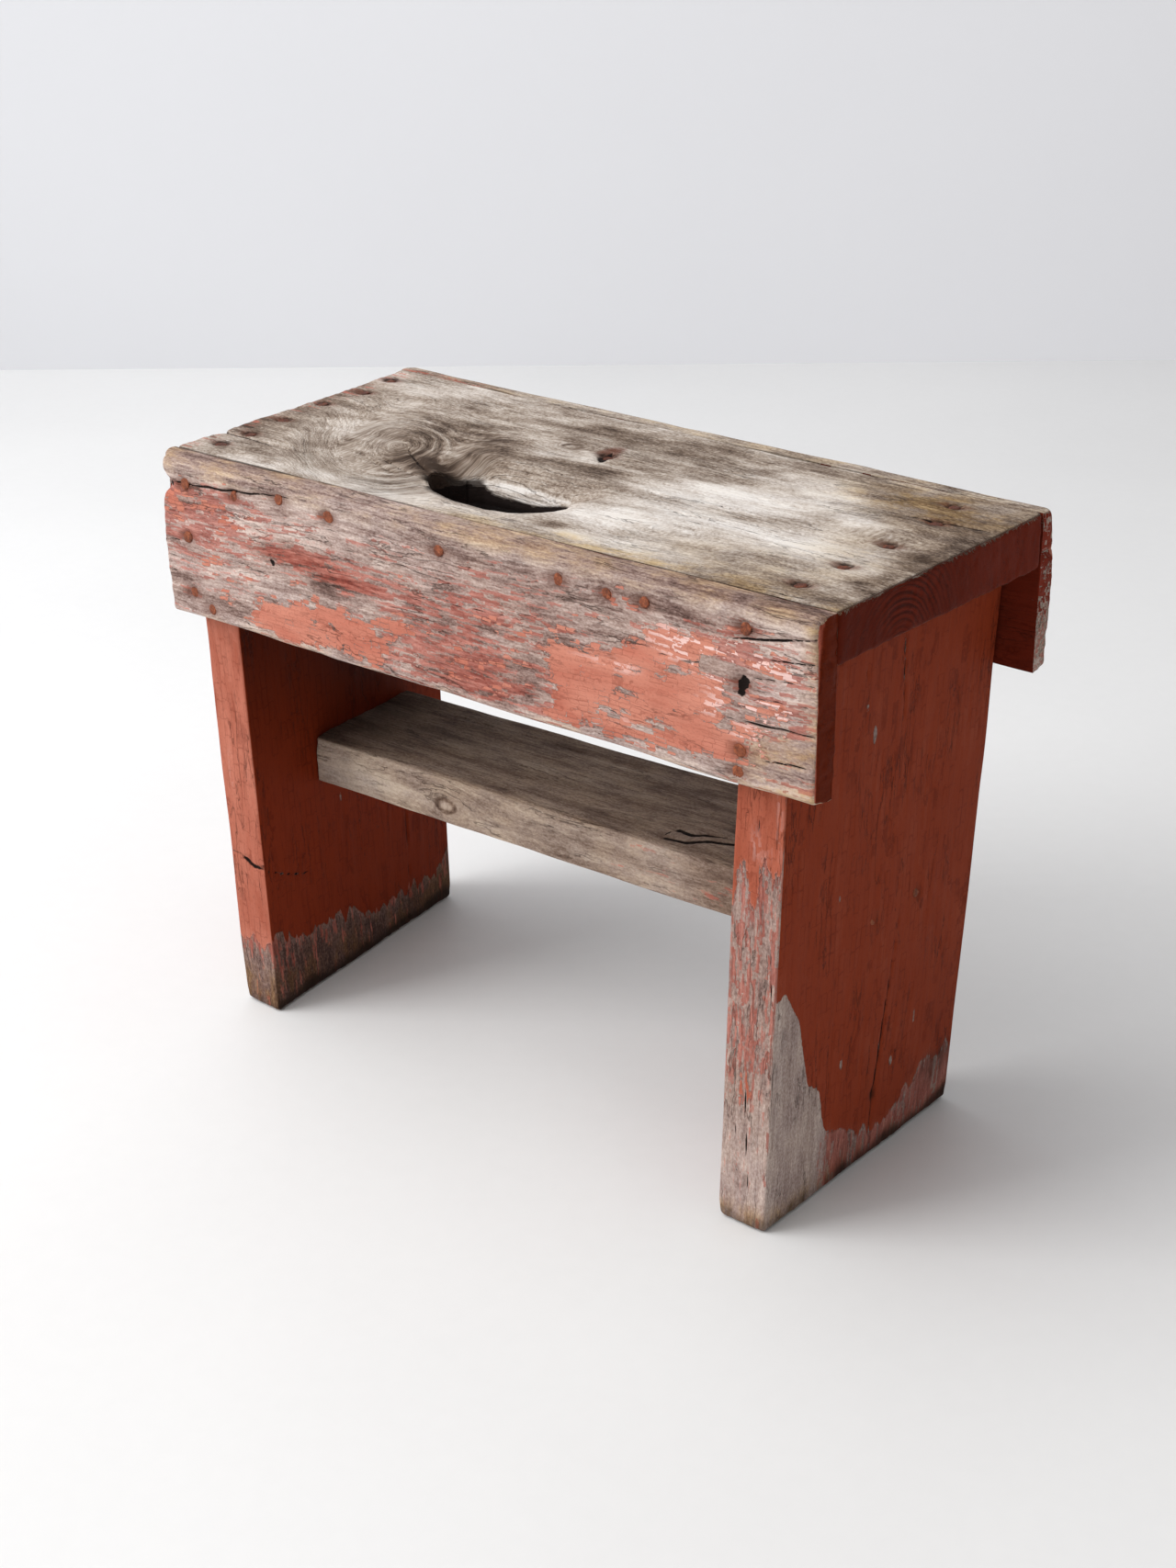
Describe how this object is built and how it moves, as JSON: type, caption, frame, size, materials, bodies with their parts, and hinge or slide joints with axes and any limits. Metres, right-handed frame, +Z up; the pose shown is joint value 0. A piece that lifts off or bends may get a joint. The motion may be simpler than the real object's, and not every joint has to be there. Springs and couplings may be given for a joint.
{
  "type": "milking stool",
  "caption": "Low rectangular plank seat with a hand hole, boxed in by side aprons, on plank legs tied by a flat stretcher and fixed with nails.",
  "frame": {"origin": "middle of the footprint on the floor, under the middle of the bounding box", "axes": "+X along the stool's length towards the leaning leg, +Y across it from the front apron to the rear apron, +Z up"},
  "size_m": [0.583, 0.2708, 0.458],
  "materials": {
    "bare_seat_wood": "bare weathered grey-brown softwood, worn smooth, open grain",
    "bare_stretcher_wood": "bare aged brown-grey softwood, rough",
    "worn_red_paint": "softwood with old red-brown paint, faded to salmon and flaked to bare wood, matte",
    "rusty_nail": "dark rust, rough"
  },
  "bodies": {
    "root": {"seat_board": "bare_seat_wood", "stretcher": "bare_stretcher_wood", "apron_front": "worn_red_paint", "apron_rear": "worn_red_paint", "leg_left": "worn_red_paint", "leg_right": "worn_red_paint", "nail_front_left_leg_1": "rusty_nail", "nail_front_left_leg_2": "rusty_nail", "nail_front_left_leg_3": "rusty_nail", "nail_front_right_leg_1": "rusty_nail", "nail_front_right_leg_2": "rusty_nail", "nail_front_right_leg_3": "rusty_nail", "nail_front_seat_1": "rusty_nail", "nail_front_seat_2": "rusty_nail", "nail_front_seat_3": "rusty_nail", "nail_front_seat_4": "rusty_nail", "nail_front_seat_5": "rusty_nail", "nail_front_seat_6": "rusty_nail", "nail_front_seat_7": "rusty_nail", "nail_front_seat_8": "rusty_nail", "nail_front_seat_9": "rusty_nail", "nail_left_leg_stretcher_1": "rusty_nail", "nail_left_leg_stretcher_2": "rusty_nail", "nail_rear_left_leg_1": "rusty_nail", "nail_rear_left_leg_2": "rusty_nail", "nail_rear_left_leg_3": "rusty_nail", "nail_rear_right_leg_1": "rusty_nail", "nail_rear_right_leg_2": "rusty_nail", "nail_rear_right_leg_3": "rusty_nail", "nail_rear_seat_1": "rusty_nail", "nail_rear_seat_2": "rusty_nail", "nail_rear_seat_3": "rusty_nail", "nail_rear_seat_4": "rusty_nail", "nail_rear_seat_5": "rusty_nail", "nail_rear_seat_6": "rusty_nail", "nail_right_leg_stretcher_1": "rusty_nail", "nail_right_leg_stretcher_2": "rusty_nail", "nail_seat_left_1": "rusty_nail", "nail_seat_left_2": "rusty_nail", "nail_seat_left_3": "rusty_nail", "nail_seat_left_4": "rusty_nail", "nail_seat_left_5": "rusty_nail", "nail_seat_left_6": "rusty_nail", "nail_seat_right_1": "rusty_nail", "nail_seat_right_2": "rusty_nail", "nail_seat_right_3": "rusty_nail", "nail_seat_right_4": "rusty_nail", "nail_seat_right_5": "rusty_nail", "nail_seat_stray_1": "rusty_nail"}
  },
  "joints": []
}
